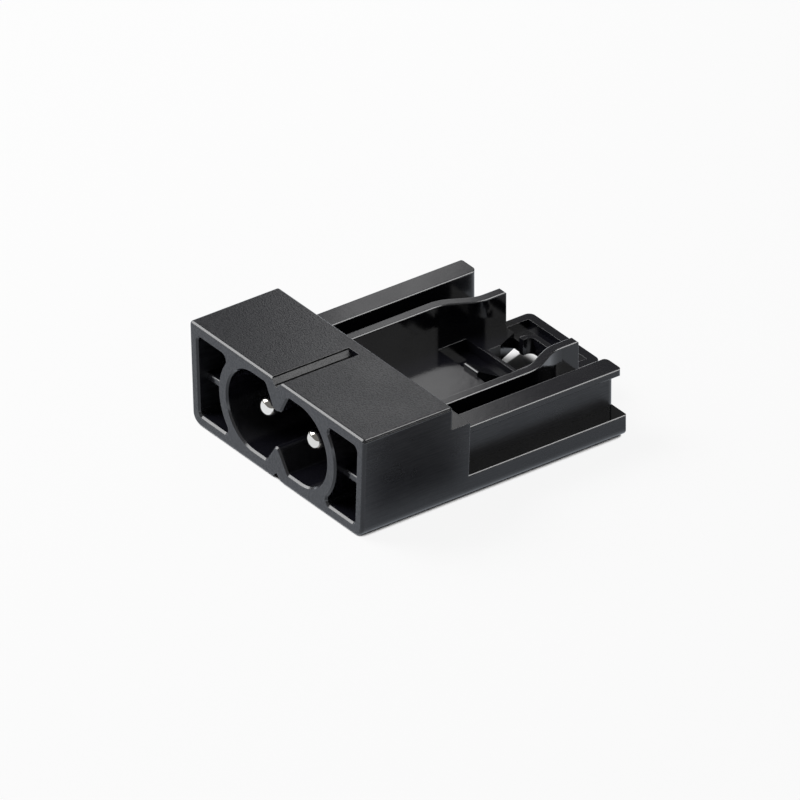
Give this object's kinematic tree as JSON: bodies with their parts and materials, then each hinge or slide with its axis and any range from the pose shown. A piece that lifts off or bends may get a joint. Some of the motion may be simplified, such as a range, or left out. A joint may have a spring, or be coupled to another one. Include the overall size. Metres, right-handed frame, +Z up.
{
  "type": "slide-in appliance inlet plug",
  "caption": "Black moulded figure-eight appliance inlet with round contact pins, slide-in side rails, guide arms and a rear latch tongue.",
  "frame": {"origin": "middle of the underside's bounding rectangle, on the resting plane", "axes": "+X to the right seen from the inlet face, +Y from the inlet face to the rear tongue, +Z up"},
  "size_m": [0.032, 0.0392, 0.0126],
  "materials": {
    "black_plastic": "fine matte grain on the outside, satin inside",
    "nickel_plate": "bright nickel plate"
  },
  "bodies": {
    "root": {"housing": "black_plastic", "contact_pin_left": "nickel_plate", "contact_pin_right": "nickel_plate"}
  },
  "joints": []
}
